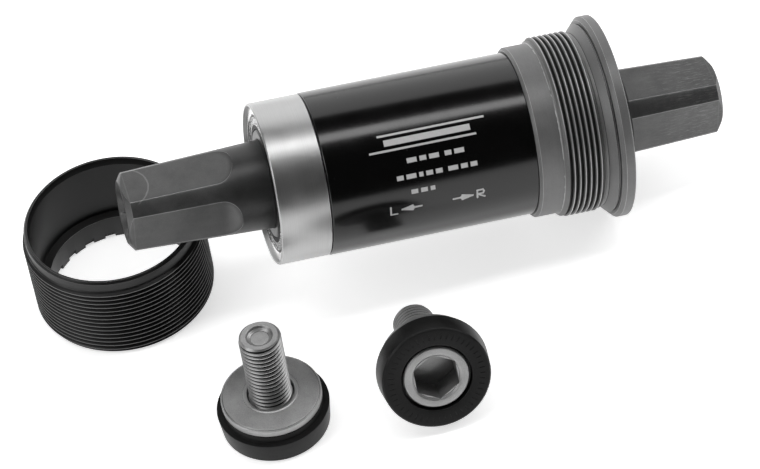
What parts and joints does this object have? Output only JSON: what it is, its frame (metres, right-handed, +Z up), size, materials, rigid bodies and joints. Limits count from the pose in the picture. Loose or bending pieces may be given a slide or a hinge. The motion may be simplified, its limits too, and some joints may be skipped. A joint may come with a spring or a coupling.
{
  "type": "bottom bracket",
  "caption": "Sealed square taper cartridge bottom bracket with a fixed flanged cup, a loose threaded left cup and its hex socket crank bolts in plastic dust rings.",
  "frame": {"origin": "centre of the bounding box in x and y, on the ground", "axes": "+X towards the drive side along the cartridge, +Y to the back, +Z up"},
  "size_m": [0.1356, 0.0752, 0.0412],
  "materials": {
    "spindle_steel": "dark matte forging",
    "turned_steel": "bright turned",
    "sleeve_plastic": "gloss black",
    "fixed_cup_steel": "matte grey phosphate",
    "seal_rubber": "matte",
    "adapter_cup_black": "satin black",
    "bolt_steel": "satin zinc plate",
    "ring_plastic": "satin black",
    "bearing_steel": "ground and polished",
    "cage_plastic": "natural nylon",
    "shield_steel": "stamped sheet"
  },
  "bodies": {
    "cartridge": {"cartridge_tube": "turned_steel", "outer_sleeve": "sleeve_plastic", "drive_side_cup": "fixed_cup_steel", "drive_side_dust_seal": "seal_rubber", "left_bearing_outer_ring": "bearing_steel", "right_bearing_outer_ring": "bearing_steel", "left_bearing_outer_seal": "shield_steel", "left_bearing_inner_seal": "shield_steel", "right_bearing_outer_seal": "shield_steel", "right_bearing_inner_seal": "shield_steel"},
    "spindle": {"spindle": "spindle_steel", "left_bearing_inner_ring": "bearing_steel", "right_bearing_inner_ring": "bearing_steel"},
    "left_ball_set": {"left_bearing_balls": "bearing_steel", "left_bearing_cage": "cage_plastic"},
    "right_ball_set": {"right_bearing_balls": "bearing_steel", "right_bearing_cage": "cage_plastic"},
    "left_cup": {"left_adapter_cup": "adapter_cup_black"},
    "upright_bolt": {"crank_bolt_upright": "bolt_steel"},
    "upright_ring": {"upright_bolt_dust_ring": "ring_plastic"},
    "lying_bolt": {"crank_bolt_lying": "bolt_steel"},
    "lying_ring": {"lying_bolt_dust_ring": "ring_plastic"}
  },
  "joints": [
    {"name": "spindle_spin", "type": "hinge", "parent": "cartridge", "child": "spindle", "pos_m": [0.04332, 0.0117, 0.01964], "axis": [0.9955, 0, -0.0952], "continuous": true},
    {"name": "left_balls_orbit", "type": "hinge", "parent": "cartridge", "child": "left_ball_set", "pos_m": [0.04332, 0.0117, 0.01964], "axis": [0.9955, 0, -0.0952], "continuous": true},
    {"name": "right_balls_orbit", "type": "hinge", "parent": "cartridge", "child": "right_ball_set", "pos_m": [0.04332, 0.0117, 0.01964], "axis": [0.9955, 0, -0.0952], "continuous": true},
    {"name": "left_cup_slide", "type": "slide", "parent": "cartridge", "child": "left_cup", "axis": [-0.7071, 0.7071, 0], "range_m": [0, 0.07]},
    {"name": "upright_bolt_lift", "type": "slide", "parent": "cartridge", "child": "upright_bolt", "axis": [0, 0, 1], "range_m": [0, 0.03]},
    {"name": "upright_ring_spin", "type": "hinge", "parent": "upright_bolt", "child": "upright_ring", "pos_m": [-0.031, -0.0233, 0], "axis": [0, 0, 1], "continuous": true},
    {"name": "lying_bolt_lift", "type": "slide", "parent": "cartridge", "child": "lying_bolt", "axis": [0, 0, 1], "range_m": [0, 0.03]},
    {"name": "lying_ring_spin", "type": "hinge", "parent": "lying_bolt", "child": "lying_ring", "pos_m": [-0.0015, -0.0342, 0.01156], "axis": [0.0279, 0.9409, -0.3376], "continuous": true}
  ],
  "couplings": [
    {"joint": "left_balls_orbit", "follows": "spindle_spin", "ratio": 0.41555},
    {"joint": "right_balls_orbit", "follows": "spindle_spin", "ratio": 0.41555}
  ]
}
